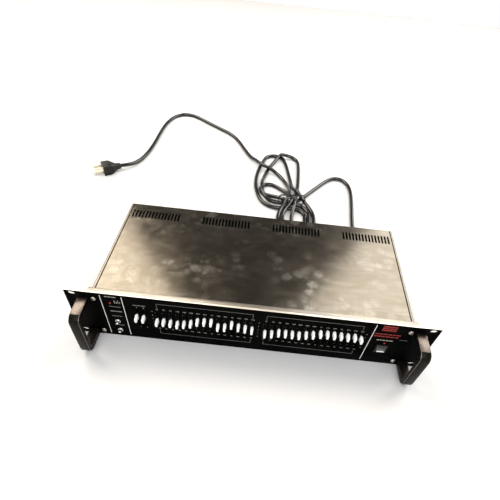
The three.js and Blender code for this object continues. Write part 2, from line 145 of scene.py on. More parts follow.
# How far the hank sinks in a round, and the play kept between its passes.
SINK, PLAY = 0.05, 0.05
SETTLE_ROUNDS, LIFT_ROUNDS = 900, 40
SMOOTHING = (1, 4, 6, 4, 1)


def smooth_route(points, step):
    """Evenly spaced points on a centripetal Catmull-Rom curve through the given ones."""
    ends = np.vstack([2 * points[0] - points[1], points, 2 * points[-1] - points[-2]])
    stretches = []
    for a, b, c, d in zip(ends, ends[1:], ends[2:], ends[3:]):
        ta, tb = 0.0, np.linalg.norm(b - a) ** 0.5
        tc = tb + np.linalg.norm(c - b) ** 0.5
        td = tc + np.linalg.norm(d - c) ** 0.5
        t = np.linspace(tb, tc, CURVE_SAMPLES, endpoint=False)[:, None]
        ab = ((tb - t) * a + (t - ta) * b) / (tb - ta)
        bc = ((tc - t) * b + (t - tb) * c) / (tc - tb)
        cd = ((td - t) * c + (t - tc) * d) / (td - tc)
        abc = ((tc - t) * ab + (t - ta) * bc) / (tc - ta)
        bcd = ((td - t) * bc + (t - tb) * cd) / (td - tb)
        stretches.append(((tc - t) * abc + (t - tb) * bcd) / (tc - tb))
    line = np.vstack([*stretches, points[-1:]])
    along = np.r_[0, np.cumsum(np.linalg.norm(np.diff(line, axis=0), axis=1))]
    wanted = np.linspace(0, along[-1], int(round(along[-1] / step)) + 1)
    return np.stack([np.interp(wanted, along, line[:, k]) for k in range(3)], axis=1)


def settle(line, first, last, step):
    """Sinks the hank, from first to last, on to the floor and itself, each pass in a long low hump."""
    count = len(line)
    apart = int(math.ceil(CROSSING_GAP * CORD_DIAMETER / step))
    one, other = np.triu_indices(count, apart)
    sideways = np.hypot(*(line[other, :2] - line[one, :2]).T)
    near = (sideways < CORD_DIAMETER) & (other >= first) & (one < last)
    one, other, sideways = one[near], other[near], sideways[near]
    clear = np.sqrt((CORD_DIAMETER + PLAY) ** 2 - sideways ** 2)
    other_is_higher = line[other, 2] >= line[one, 2]
    over, under = np.where(other_is_higher, other, one), np.where(other_is_higher, one, other)
    height = line[:, 2].copy()
    free = np.zeros(count, bool)
    free[first:last] = True

    def lift_clear():
        short = clear - (height[over] - height[under])
        hit = short > 0
        lift = np.zeros(count)
        np.maximum.at(lift, over[hit], short[hit])
        height[free] += lift[free]

    for _ in range(SETTLE_ROUNDS):
        sunk = height - SINK
        bent = sunk.copy()
        bent[2:-2] = sum(w * sunk[k:count - 4 + k] for k, w in enumerate(SMOOTHING)) / sum(SMOOTHING)
        height[free] = np.maximum(bent[free], LOW)
        lift_clear()
    for _ in range(LIFT_ROUNDS):
        lift_clear()
    return np.column_stack([line[:, :2], height])


def nearest(line, point):
    return int(np.argmin(np.linalg.norm(line - np.array(point), axis=1)))


cord_line = smooth_route(np.array(LEAD + HANK + TAIL, float), CORD_STEP)
cord_line = settle(cord_line, nearest(cord_line, LEAD[-1]), nearest(cord_line, TAIL[0]), CORD_STEP)


def make_cord():
    curve = bpy.data.curves.new("mains_cord", "CURVE")
    curve.dimensions = "3D"
    # The bevel is one unit deep, so that a point's radius is the cord's own.
    curve.bevel_depth = 1
    curve.bevel_resolution = 5
    curve.resolution_u = 2
    curve.use_fill_caps = True
    spline = curve.splines.new("NURBS")
    spline.points.add(len(cord_line) - 1)
    for point, (x, y, z) in zip(spline.points, cord_line):
        point.co = (*place(x, y, z), 1)
        point.radius = CORD_DIAMETER / 2 * MM
    spline.order_u = 3
    spline.use_endpoint_u = True
    return put_in_scene("mains_cord", curve)


cord = make_cord()
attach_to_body(cord, "case")
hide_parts("cord_lead", "cord_hank", "cord_tail")


# ------------------------------------------------------------------ materials
class Finish:
    """A procedural material, built up from noise in the object's own metres."""

    # The share of a spot that is full, before it fades to its edge.
    SPOT_CORE = 0.45

    def __init__(self, name, color, roughness, metallic=0.0, specular=0.5):
        self.name = name
        self.material = bpy.data.materials.new(name)
        self.material.use_nodes = True
        self.tree = self.material.node_tree
        self.shader = self.tree.nodes["Principled BSDF"]
        self.shader.inputs["Base Color"].default_value = (*color, 1)
        self.shader.inputs["Roughness"].default_value = roughness
        self.shader.inputs["Metallic"].default_value = metallic
        self.shader.inputs["Specular IOR Level"].default_value = specular
        self.place = self.node("TexCoord").outputs["Object"]

    def node(self, kind, inputs=None, **settings):
        """A new node; an input is given as a value or as another node's output."""
        made = self.tree.nodes.new("ShaderNode" + kind)
        for name, value in settings.items():
            setattr(made, name, value)
        for name, value in (inputs or {}).items():
            if isinstance(value, bpy.types.NodeSocket):
                self.tree.links.new(value, made.inputs[name])
            else:
                made.inputs[name].default_value = value
        return made

    def to_shader(self, output, socket):
        self.tree.links.new(output, self.shader.inputs[socket])
        return self

    def noise(self, scale, detail=3.0, stretch=(1, 1, 1), distortion=0.0, low=0.0, high=1.0):
        """Noise between 0 and 1, with the part from low to high spread over that range."""
        mapping = self.node("Mapping", {"Vector": self.place, "Scale": stretch})
        texture = self.node("TexNoise", {
            "Vector": mapping.outputs["Vector"], "Scale": scale, "Detail": detail,
            "Distortion": distortion})
        spread = self.node("MapRange", {
            "Value": texture.outputs["Fac"], "From Min": low, "From Max": high})
        return spread.outputs["Result"]

    def fade(self, value, nothing_at, full_at):
        """A soft step from 0, where the value is nothing_at, to 1, where it is full_at."""
        step = self.node(
            "MapRange", {"Value": value, "From Min": nothing_at, "From Max": full_at},
            interpolation_type="SMOOTHSTEP")
        return step.outputs["Result"]

    def spots(self, scale, reach, wobble=0.004):
        """Soft round spots, one to a cell, with ragged outlines; reach is their size to the cell's."""
        ragged = self.node("TexNoise", {"Vector": self.place, "Scale": 3 * scale})
        pushed = self.node(
            "VectorMath", {0: ragged.outputs["Color"], 1: (wobble, wobble, wobble), 2: self.place},
            operation="MULTIPLY_ADD")
        cells = self.node("TexVoronoi", {"Vector": pushed.outputs["Vector"], "Scale": scale})
        return self.fade(cells.outputs["Distance"], reach, reach * self.SPOT_CORE)

    def middle_band(self, half_width, run_out):
        """One within a half width of the object's own x = 0, in metres, then falling to nothing."""
        split = self.node("SeparateXYZ", {"Vector": self.place})
        away = self.node("Math", {0: split.outputs["X"]}, operation="ABSOLUTE")
        return self.fade(away.outputs["Value"], half_width + run_out, half_width)

    def times(self, one, other):
        return self.node("Math", {0: one, 1: other}, operation="MULTIPLY").outputs["Value"]

    def plus(self, one, other):
        return self.node("Math", {0: one, 1: other}, operation="ADD").outputs["Value"]

    def color(self, mask, off, on):
        mix = self.node("Mix", {"Factor": mask, "A": (*off, 1), "B": (*on, 1)}, data_type="RGBA")
        return self.to_shader(mix.outputs["Result"], "Base Color")

    def roughness(self, mask, off, on):
        spread = self.node("MapRange", {"Value": mask, "To Min": off, "To Max": on})
        return self.to_shader(spread.outputs["Result"], "Roughness")

    def bump(self, height, strength, depth_mm):
        bump = self.node("Bump", {"Height": height, "Strength": strength, "Distance": depth_mm * MM})
        return self.to_shader(bump.outputs["Normal"], "Normal")


def case_paint():
    """Semi-gloss dark paint with fingertip marks, cleaning streaks and fine scratches."""
    finish = Finish("case_paint", (0.1, 0.086, 0.068), 0.24, metallic=0.9)
    times, plus = finish.times, finish.plus
    grain = finish.noise(380, 4, low=0.3, high=0.7)
    handled = finish.middle_band(0.07, 0.07)
    fingers = times(finish.spots(52, 0.5, 0.006), finish.noise(12, 2, low=0.42, high=0.6))
    small = times(finish.spots(95, 0.42), finish.noise(14, 2, low=0.5, high=0.66))
    fingers = times(plus(fingers, small), grain)
    streaks = finish.noise(24, 5, stretch=(0.9, 2.0, 1), distortion=1.2, low=0.42, high=0.9)
    scratches = finish.noise(170, 1, stretch=(0.1, 1.6, 1), low=0.745, high=0.78)
    faint = plus(times(fingers, 0.35), times(streaks, 0.35))
    marks = plus(plus(faint, times(scratches, 0.3)), times(fingers, handled))
    finish.color(marks, (0.086, 0.075, 0.058), (0.2, 0.188, 0.165))
    dullness = plus(times(marks, 1.2), finish.noise(30, 5, low=0.35, high=0.8))
    finish.roughness(dullness, 0.15, 0.23)
    return finish.bump(finish.noise(1500, 2), 0.1, 0.04)


def panel_black():
    """Matt black anodizing, a little cloudy."""
    finish = Finish("panel_black", (0.001, 0.001, 0.001), 0.5, specular=0.01)
    clouds = finish.noise(40, 4, low=0.4, high=0.75)
    finish.color(clouds, (0.0007, 0.0007, 0.0007), (0.0022, 0.0022, 0.002))
    finish.roughness(finish.noise(120, 3), 0.42, 0.58)
    return finish.bump(finish.noise(2200, 2), 0.15, 0.04)


def handle_black():
    """Cast bar in thick paint, with a fine pebbled grain."""
    finish = Finish("handle_black", (0.003, 0.003, 0.0027), 0.35, specular=0.07)
    pebbles = finish.noise(600, 3, low=0.4, high=0.7)
    finish.color(pebbles, (0.0022, 0.002, 0.0016), (0.011, 0.009, 0.0062))
    finish.roughness(finish.noise(250, 3), 0.22, 0.34)
    return finish.bump(finish.noise(900, 3), 0.35, 0.12)


def bright_metal(name, color, roughness, grain=(1, 1, 1)):
    """Bare or thinly painted metal, and paler metal for painted highlights and reflections, with duller
    patches; grain stretches them into brushing.
    """
    finish = Finish(name, color, roughness, metallic=1.0)
    dull = tuple(0.72 * c for c in color)
    finish.color(finish.noise(300, 3, stretch=grain, low=0.45, high=0.8), color, dull)
    finish.roughness(finish.noise(500, 3, stretch=grain), roughness * 0.7, roughness * 1.5)
    return finish.bump(finish.noise(1200, 2, stretch=grain), 0.1, 0.04)


def moulding(name, color, roughness, wear_and_sheen, specular=0.5, grain=0.12):
    """A plastic or rubber moulding: faint cloudiness, a fine spark-eroded texture and paler wear."""
    finish = Finish(name, color, roughness, specular=specular)
    finish.color(finish.noise(90, 4, low=0.45, high=0.8), color, wear_and_sheen)
    finish.roughness(finish.noise(260, 3), roughness * 0.8, roughness * 1.25)
    return finish.bump(finish.noise(1600, 2), grain, 0.05)


def printed(name, color, wear_and_sheen):
    """Screen-printed ink."""
    return moulding(name, color, 0.5, wear_and_sheen, specular=0.2)


def red_lens():
    finish = moulding("red_lens", (0.3, 0.02, 0.02), 0.16, (0.5, 0.06, 0.05), grain=0.03)
    finish.shader.inputs["Transmission Weight"].default_value = 0.25
    return finish


FINISHES = (
    panel_black(),
    case_paint(),
    handle_black(),
    # The handles' upward faces: a paler metal, a painted reflection of the lamps.
    bright_metal("handle_top_reflection", (0.12, 0.1, 0.088), 0.33),
    # The handles' rounded edges: a paler metal, partly edge wear and partly a painted highlight.
    bright_metal("handle_edge_wear_and_highlight", (0.16, 0.14, 0.12), 0.32),
    # The panel's ends, top and foot: a pale metal, a painted highlight along its edges.
    bright_metal("panel_edge_highlight", (0.5, 0.46, 0.4), 0.4, grain=(0.1, 1, 1)),
    # The front frame's top faces: a paler metal, a painted highlight along the top edge.
    bright_metal("frame_top_highlight", (0.19, 0.175, 0.15), 0.34, grain=(0.1, 1, 1)),
    moulding("seam_shadow", (0.004, 0.004, 0.004), 0.7, (0.008, 0.007, 0.006), specular=0.1),
    moulding("lever_steel", (0.02, 0.019, 0.017), 0.5, (0.035, 0.033, 0.03), specular=0.3),
    bright_metal("screw_zinc", (0.55, 0.51, 0.44), 0.26),
    bright_metal("chrome", (0.8, 0.78, 0.75), 0.14),
    bright_metal("nickel", (0.66, 0.62, 0.54), 0.22),
    bright_metal("brass", (0.78, 0.72, 0.58), 0.26, grain=(1, 1, 6)),
    moulding("cap_white", (0.88, 0.88, 0.86), 0.34, (0.8, 0.79, 0.76)),
    moulding("rocker_grey", (0.06, 0.06, 0.055), 0.32, (0.1, 0.1, 0.092)),
    moulding("black_plastic", (0.006, 0.006, 0.006), 0.42, (0.016, 0.016, 0.015), specular=0.12),
    moulding("socket_white", (0.75, 0.74, 0.7), 0.4, (0.6, 0.58, 0.54)),
    moulding("socket_red", (0.5, 0.03, 0.025), 0.4, (0.38, 0.04, 0.03)),
    red_lens(),
    moulding("circuit_board", (0.02, 0.11, 0.045), 0.4, (0.05, 0.17, 0.07)),
    bright_metal("transformer_steel", (0.22, 0.19, 0.15), 0.5, grain=(1, 1, 12)),
    moulding("cord_rubber", (0.002, 0.0018, 0.0015), 0.13, (0.006, 0.005, 0.004)),
    moulding("plug_rubber", (0.004, 0.004, 0.004), 0.34, (0.012, 0.011, 0.01), specular=0.3),
    printed("print_white", (0.62, 0.62, 0.6), (0.48, 0.48, 0.46)),
    printed("print_scale", (0.3, 0.29, 0.26), (0.2, 0.19, 0.17)),
    printed("print_dim", (0.16, 0.16, 0.145), (0.09, 0.09, 0.08)),
    printed("print_red", (0.2, 0.018, 0.015), (0.13, 0.012, 0.01)),
)
MATERIALS = {finish.name: finish.material for finish in FINISHES}


# ------------------------------------------------------------------ making pieces
def finish_mesh(name, bm, material, sharp=32):
    """Turns a bmesh into an object that is smooth but for its sharp edges."""
    bmesh.ops.recalc_face_normals(bm, faces=bm.faces)
    limit = math.radians(sharp)
    for face in bm.faces:
        face.smooth = True
    for edge in bm.edges:
        edge.smooth = len(edge.link_faces) == 2 and edge.calc_face_angle() < limit
    mesh = bpy.data.meshes.new(name)
    bm.to_mesh(mesh)
    bm.free()
    mesh.materials.append(MATERIALS[material])
    return put_in_scene(name, mesh)


def attach(piece, body, replaces=()):
    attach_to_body(piece, body)
    if replaces:
        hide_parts(*replaces)
    return piece


def body_of_node(node):
    bodies = frame["record"]["behaviour"]["bodies"]
    return next(name for name, members in bodies.items() if node in members)


def sharp_edges(bm, degrees):
    limit = math.radians(degrees)
    return [e for e in bm.edges if len(e.link_faces) == 2 and e.calc_face_angle() > limit]


def bevel(bm, edges, width, segments=2, material=-1):
    """Rounds edges by a width in millimetres; material -1 is that of the faces beside them."""
    bmesh.ops.bevel(
        bm, geom=edges, offset=width * MM, segments=segments, profile=0.5, affect="EDGES",
        clamp_overlap=True, material=material)


def rounded(node, width, segments=2, sharp=30, wear_and_sheen=None, other=None, keep=None, slim=1.0):
    """The CAD node with its sharp edges rounded by a width in millimetres.

    other is a finish and a test that picks its faces by their centre, in the part's own millimetres,
    and their normal. wear_and_sheen names a finish for the rounded edges, for a node that has another
    one;
    the handles' edge finish is paler, partly wear and partly a painted highlight.
    keep is a test for corners, by their place, whose edges stay as they are. slim narrows the piece
    about its own middle.
    """
    bm = bmesh.new()
    bm.from_mesh(NODES[node].data)
    bmesh.ops.remove_doubles(bm, verts=bm.verts, dist=1e-6)
    bmesh.ops.dissolve_limit(bm, angle_limit=math.radians(1), verts=bm.verts, edges=bm.edges)
    edges = sharp_edges(bm, sharp)
    if keep:
        edges = [edge for edge in edges if not any(keep(measured(v.co)) for v in edge.verts)]
    bevel(bm, edges, width, segments, material=2 if wear_and_sheen else -1)
    if other:
        for face in bm.faces:
            middle = measured(face.calc_center_median())
            if face.material_index == 0 and other[1](middle, face.normal):
                face.material_index = 1
    if slim != 1:
        middle = sum((v.co.x for v in bm.verts)) / len(bm.verts)
        for vertex in bm.verts:
            vertex.co.x = middle + (vertex.co.x - middle) * slim
    piece = finish_mesh(f"{node}_shape", bm, SLOT_OF[node])
    for extra in (other and other[0], wear_and_sheen):
        if extra:
            piece.data.materials.append(MATERIALS[extra])
    return attach(piece, body_of_node(node), [node])


def lathe(bm, profile, sides=32, matrix=Matrix.Identity(4)):
    """A turned shape round local Z from (radius, height) in millimetres; a radius of 0 closes an end."""
    rings = []
    for radius, height in profile:
        if radius == 0:
            rings.append([bm.verts.new(matrix @ Vector((0, 0, height * MM)))] * sides)
        else:
            angles = [2 * math.pi * k / sides for k in range(sides)]
            rings.append([
                bm.verts.new(matrix @ Vector((
                    radius * MM * math.cos(a), radius * MM * math.sin(a), height * MM)))
                for a in angles])
    for low, high in zip(rings, rings[1:]):
        for k in range(sides):
            corners = [low[k], low[(k + 1) % sides], high[(k + 1) % sides], high[k]]
            unique = list(dict.fromkeys(corners))
            if len(unique) > 2:
                bm.faces.new(unique)


def box(bm, x, y, z, matrix=Matrix.Identity(4)):
    """A box between two (low, high) pairs on each axis, in millimetres."""
    corners = [bm.verts.new(matrix @ (Vector((a, b, c)) * MM)) for a in x for b in y for c in z]
    for face in (0, 1, 3, 2), (4, 6, 7, 5), (0, 4, 5, 1), (2, 3, 7, 6), (0, 2, 6, 4), (1, 5, 7, 3):
        bm.faces.new([corners[k] for k in face])


def skin(bm, low, high):
    """The sides between two matching rings of corners."""
    for k in range(len(low)):
        after = (k + 1) % len(low)
        bm.faces.new([low[k], low[after], high[after], high[k]])


def soften(bm, width):
    """Rounds every edge of some bars by a width in millimetres."""
    bmesh.ops.recalc_face_normals(bm, faces=bm.faces)
    bevel(bm, list(bm.edges), width)


def local(x, y, z):
    """From a piece's own millimetres to the frame, round a point measured from the panel's face."""
    return Matrix.Translation(place(x, y, z))


def turn(degrees, axis):
    return Matrix.Rotation(math.radians(degrees), 4, axis)


FACING_FRONT, FACING_BACK = turn(90, "X"), turn(-90, "X")


def cut(piece, tool):
    """What is left of the piece without the tool's volume, as a bmesh; both objects are removed."""
    modifier = piece.modifiers.new("cut", "BOOLEAN")
    modifier.operation, modifier.solver, modifier.object = "DIFFERENCE", "EXACT", tool
    bpy.context.view_layer.update()
    made = piece.evaluated_get(bpy.context.evaluated_depsgraph_get())
    bm = bmesh.new()
    bm.from_mesh(made.to_mesh())
    made.to_mesh_clear()
    bpy.data.objects.remove(tool)
    bpy.data.objects.remove(piece)
    return bm


# ------------------------------------------------------------------ case
CASE_HALF, CASE_TOP, CASE_FRONT, CASE_REAR, CASE_FOOT = 208, 86.5, 9.3, 193, 0.3
SHEET, BEND = 1.2, 1.4
SEAM_X, SEAM_WIDTH, SEAM_DEPTH = 203.2, 1.6, 1.1
VENT_GROUPS_X, VENTS_PER_GROUP, VENT_PITCH = (-163.6, -54.5, 54.5, 163.6), 15, 5
VENT_WIDTH, VENT_FRONT, VENT_BACK = 2.9, 160, 178
# How far the slots' tool reaches under and over the cover's top.
UNDER, OVER = 3, 1
# The cover's own edges, and how far into it its inner faces begin for their painted shade.
COVER_EDGE, COVER_CORNER, INNER_MARGIN = 0.15, 50, (0.1, 0.2)
# The front frame's top edge and the panel's ends, top and foot have their own paler finish, a painted
# highlight, and so do the handles' level faces, a painted reflection.
FRAME_EDGE_Z, PANEL_EDGE_X, PANEL_EDGE_Z = 86, 240.9, (0.6, 87.5)
FACES_FRONT, FACES_UP = 0.9, 0.97


def cover_profile():
    """Half of the folded sheet's section in (x, z): outside from foot to middle, then back inside."""
    outside = [(CASE_HALF, CASE_FOOT)]
    for bend in np.radians([0, 22.5, 45, 67.5, 90]):
        outside.append((
            CASE_HALF - BEND + BEND * math.cos(bend), CASE_TOP - BEND + BEND * math.sin(bend)))
    outside += [
        (SEAM_X + SEAM_WIDTH, CASE_TOP), (SEAM_X + SEAM_WIDTH, CASE_TOP - SEAM_DEPTH),
        (SEAM_X, CASE_TOP - SEAM_DEPTH), (SEAM_X, CASE_TOP)]
    inside = [(CASE_HALF - SHEET, CASE_TOP - SHEET), (CASE_HALF - SHEET, CASE_FOOT)]
    return outside, inside


def vent_tool():
    """A round-ended bar through the cover's top for each slot."""
    bm = bmesh.new()
    radius = VENT_WIDTH / 2
    ends = ((VENT_BACK - radius, range(0, 181, 30)), (VENT_FRONT + radius, range(180, 361, 30)))
    for middle in VENT_GROUPS_X:
        for k in range(VENTS_PER_GROUP):
            x = middle + (k - (VENTS_PER_GROUP - 1) / 2) * VENT_PITCH
            rim = [
                (x + radius * math.cos(math.radians(t)), y + radius * math.sin(math.radians(t)))
                for y, turns in ends for t in turns]
            low, high = (
                [bm.verts.new(place(*at, z)) for at in rim] for z in (CASE_TOP - UNDER, CASE_TOP + OVER))
            skin(bm, low, high)
            bm.faces.new(low)
            bm.faces.new(high)
    return finish_mesh("vent_tool", bm, "case_paint")


def cover():
    """The folded sheet with its seams and slots. Its inner faces and the seams are painted dark as
    shade.
    """
    outside, inside = cover_profile()
    section = outside + [(-x, z) for x, z in reversed(outside)]
    section += [(-x, z) for x, z in reversed(inside)] + inside
    bm = bmesh.new()
    ends = [[bm.verts.new(place(x, y, z)) for x, z in section] for y in (CASE_FRONT, CASE_REAR)]
    skin(bm, *ends)
    for end in ends:
        bm.faces.new(end)
    bmesh.ops.triangulate(bm, faces=[f for f in bm.faces if len(f.verts) > 4])
    bm = cut(finish_mesh("cover_blank", bm, "case_paint"), vent_tool())
    bmesh.ops.dissolve_limit(bm, angle_limit=math.radians(0.5), verts=bm.verts, edges=bm.edges)
    bevel(bm, sharp_edges(bm, COVER_CORNER), COVER_EDGE, segments=1)
    # The inner faces, slot walls and seam grooves take the near-black finish, painted shade.
    margin_x, margin_z = INNER_MARGIN
    for face in bm.faces:
        middle = measured(face.calc_center_median())
        if abs(middle.x) < SEAM_X + SEAM_WIDTH + margin_x and middle.z < CASE_TOP - margin_z:
            face.material_index = 1
    shell = finish_mesh("cover_shell", bm, "case_paint")
    shell.data.materials.append(MATERIALS["seam_shadow"])
    return attach(shell, "case", ["top_cover"])


def is_panel_edge(at, normal):
    low, high = PANEL_EDGE_Z
    return abs(normal.y) < FACES_FRONT and (abs(at.x) > PANEL_EDGE_X or at.z > high or at.z < low)


cover()
# The front frame's top faces get a paler metal, a painted highlight.
rounded("front_frame", width=0.4, other=("frame_top_highlight", lambda at, normal: at.z > FRAME_EDGE_Z))
rounded("chassis_tray", width=0.25, segments=1)
# The panel's ends, top and foot get a pale metal, a painted highlight.
rounded("front_panel", width=0.3, other=("panel_edge_highlight", is_panel_edge))
# Each handle's upward faces are a paler metal, a painted reflection, and its rounded edges are paler,
# partly wear and partly a painted highlight.
for side in SIDES:
    rounded(
        f"handle_{side}", width=0.6, sharp=50, wear_and_sheen="handle_edge_wear_and_highlight",
        other=("handle_top_reflection", lambda at, normal: normal.z > FACES_UP))

# ------------------------------------------------------------------ screws
# Shares of a head: the rim's height, the recess's reach and half width, and the height of its floor.
HEAD_RIM, CROSS_REACH, CROSS_HALF, CROSS_FLOOR = 0.35, 0.62, 0.14, 0.3
FLAT_SEAT = 0.01
# Radius and height of each kind of head, and of the shank behind the panel screws'.
PANEL_HEAD, HANDLE_HEAD, COVER_HEAD, REAR_HEAD = (3.3, 2.4), (3.6, 2.2), (3.1, 1.4), (2.8, 1.3)
PANEL_SHANK = (2, 9)
# Where each screw is along its edge, and how far its cross is turned in degrees.
PANEL_SCREW_X, PANEL_SCREW_Y, PANEL_SCREWS = 205, -0.3, {"lower": (10, 20), "upper": (77, 55)}
HANDLE_SCREW_X, HANDLE_SCREW_Y, HANDLE_SCREWS = 218.5, 3.1, {"lower": (7.5, 15), "upper": (74, 15)}
COVER_SCREW_Z, COVER_SCREWS = 9, {"front": (40, 40), "rear": (165, 165)}
REAR_WALL, REAR_SCREW_Z, REAR_SCREWS = 191.5, 80, ((-196, 0), (0, 40), (196, 80))


def cross_head(name, head, matrix, shank, material):
    """A domed screw head with a cross recess, outwards along local Z from its seat."""
    radius, height = head
    bm = bmesh.new()
    dome = [
        (radius * math.cos(a), height * (HEAD_RIM + (1 - HEAD_RIM) * math.sin(a)))
        for a in np.linspace(0, math.pi / 2, 7)[:-1]]
    if shank:
        thin, length = shank
        stem = [(0, -length), (thin, -length), (thin, 0), (radius, 0)]
    else:
        stem = [(0, -FLAT_SEAT), (radius, 0)]
    lathe(bm, [*stem, *dome, (0, height)], sides=24)
    reach, half = radius * CROSS_REACH, radius * CROSS_HALF
    for x, y in (reach, half), (half, reach):
        bar = bmesh.new()
        box(bar, (-x, x), (-y, y), (height * CROSS_FLOOR, height + 1))
        blank = finish_mesh(f"{name}_blank", bm, material)
        bm = cut(blank, finish_mesh("cross_tool", bar, material))
    bmesh.ops.transform(bm, matrix=matrix, verts=bm.verts)
    return finish_mesh(name, bm, material, sharp=40)


def drive(name, head, seat, degrees, material="screw_zinc", shank=None, replaces=()):
    """Puts a screw in the case, with its cross turned by some degrees."""
    screw = cross_head(name, head, seat @ turn(degrees, "Z"), shank, material)
    attach(screw, "case", replaces)


for side, sign in SIDES.items():
    for level, (z, degrees) in PANEL_SCREWS.items():
        node = f"panel_screw_{side}_{level}"
        seat = local(sign * PANEL_SCREW_X, PANEL_SCREW_Y, z) @ FACING_FRONT
        drive(
            f"{node}_head", PANEL_HEAD, seat, sign * degrees, shank=PANEL_SHANK, replaces=[node])
    for level, (z, degrees) in HANDLE_SCREWS.items():
        seat = local(sign * HANDLE_SCREW_X, HANDLE_SCREW_Y, z) @ FACING_BACK
        drive(f"handle_screw_{side}_{level}", HANDLE_HEAD, seat, sign * degrees)
    for end, (y, degrees) in COVER_SCREWS.items():
        seat = local(sign * CASE_HALF, y, COVER_SCREW_Z) @ turn(90 * sign, "Y")
        drive(f"cover_screw_{side}_{end}", COVER_HEAD, seat, degrees, "black_plastic")
for k, (x, degrees) in enumerate(REAR_SCREWS):
    seat = local(x, REAR_WALL, REAR_SCREW_Z) @ FACING_BACK
    drive(f"rear_screw_{k + 1}", REAR_HEAD, seat, degrees, "black_plastic")

# ------------------------------------------------------------------ controls
# A fader is a white cap on a steel lever, which begins behind this plane.
FADERS, CAP_BACK, CAP_SLIMMING = ("band_", "level_fader_"), -3.6, 0.76
# How far each other control's edges are rounded.
CONTROL_EDGES = {
    "eq_in_switch": 0.25, "low_cut_switch": 0.25, "eq_in_button": 0.25, "low_cut_button": 0.25,
    "overload_led": 0.2, "power_led": 0.2, "power_switch_housing": 0.3, "power_rocker": 0.35,
}
ROCKER_X, ROCKER_Y, ROCKER_Z, ROCKER_TILT = 179.2, 1.2, 35.7, -12
# The rocker's face is hollow: it is this far before the pivot at its middle, and falls to its ends.
ROCKER_FACE, ROCKER_RISE = -3.2, 0.125
BAR_HALF, BAR_PROUD, BAR_SUNK, BAR_EDGE = 4.9, 0.2, 0.6, 0.12
ROCKER_MARK, RIDGES, RIDGE_PITCH, FIRST_RIDGE = (-5.2, -3.4), 4, 1.2, (1.2, 1.7)

for node in NODES:
    if node.startswith(FADERS):
        rounded(
            node, width=0.35, slim=CAP_SLIMMING,
            other=("lever_steel", lambda at, normal: at.y > CAP_BACK))
for node, width in CONTROL_EDGES.items():
    rounded(node, width)


def rocker_bar(name, material, bars):
    """Raised bars on the rocker's own face, from (low, high) heights measured from its pivot."""
    at = local(ROCKER_X, ROCKER_Y, ROCKER_Z) @ turn(ROCKER_TILT, "X")
    bm = bmesh.new()
    for low, high in bars:
        face = ROCKER_FACE - ROCKER_RISE * abs(low + high) / 2
        box(bm, (-BAR_HALF, BAR_HALF), (face - BAR_PROUD, face + BAR_SUNK), (low, high), at)
    soften(bm, BAR_EDGE)
    attach(finish_mesh(name, bm, material), "power_rocker")


rocker_bar("rocker_mark", "print_white", [ROCKER_MARK])
rocker_bar("rocker_ridges", "black_plastic", [
    tuple(z + RIDGE_PITCH * k for z in FIRST_RIDGE) for k in range(RIDGES)])

# ------------------------------------------------------------------ rear fittings
SOCKETS_X, SOCKET_Z, SOCKET_SEAT = (-150, -132, -114, -96), 30, 194.2
# Each ring is an inner and outer radius, and the heights of its ends above its seat.
SOCKET_SLEEVE, SOCKET_INSERT = (3.4, 4.4, 0, 8.6), (1.65, 3.38, 7.4, 8.45)
CORD_EXIT_X, CORD_EXIT_Z, BUSH_SEAT = 176, 20, 201.5
BUSH_RIBS, BUSH_RIB_PITCH, BUSH_RIB_LONG = 6, 3, 1.3
BUSH_BORE, BUSH_RADIUS, BUSH_TAPER = 4.2, 5.6, 0.12


def ring_piece(name, material, rings):
    """Plain rings as one piece on the case, each with the matrix of its seat."""
    bm = bmesh.new()
    for (inner, outer, low, high), matrix in rings:
        profile = [(inner, low), (outer, low), (outer, high), (inner, high), (inner, low)]
        lathe(bm, profile, matrix=matrix)
    bmesh.ops.remove_doubles(bm, verts=bm.verts, dist=1e-6)
    return attach(finish_mesh(name, bm, material), "case")


rounded("phono_sockets", width=0.2)
rounded("fuse_holder", width=0.3)
socket_seats = [local(x, SOCKET_SEAT, SOCKET_Z) @ FACING_BACK for x in SOCKETS_X]
ring_piece("phono_sleeves", "nickel", [(SOCKET_SLEEVE, seat) for seat in socket_seats])
for k, seat in enumerate(socket_seats):
    tint = ("socket_white", "socket_red")[k % 2]
    ring_piece(f"phono_insert_{k + 1}", tint, [(SOCKET_INSERT, seat)])
bush = rounded("strain_relief", width=0.3)
bush_seat = local(CORD_EXIT_X, BUSH_SEAT, CORD_EXIT_Z) @ FACING_BACK
ring_piece("strain_relief_ribs", "black_plastic", [
    ((BUSH_BORE, BUSH_RADIUS - BUSH_TAPER * k, BUSH_RIB_PITCH * k, BUSH_RIB_PITCH * k + BUSH_RIB_LONG),
     bush_seat)
    for k in range(BUSH_RIBS)])

# ------------------------------------------------------------------ plug
PLUG_X, PLUG_Y, PLUG_HEADING, PLUG_BODY = -309.5, 421.2, 213, 38
PLUG_AHEAD = turn(PLUG_HEADING, "Z") @ Vector((1, 0, 0))
# How far past the body a face is a pin's, and how far inside it the pins' own corners begin.
PIN_SEAM, PIN_MARGIN = 0.05, 0.15
GRIPS, GRIP_START, GRIP_PITCH, GRIP_WIDTH, GRIP_EDGE = 5, 17, 3.6, 1.5, 0.35
GRIP_SIDES, GRIP_Z = ((-12.9, -11.6), (11.6, 12.9)), (4, 15.5)


def is_pin(at, margin=PIN_SEAM):
    """Whether a point is ahead of the plug's body, where its pins are."""
    return (at - Vector((PLUG_X, PLUG_Y, 0))).dot(PLUG_AHEAD) > PLUG_BODY + margin


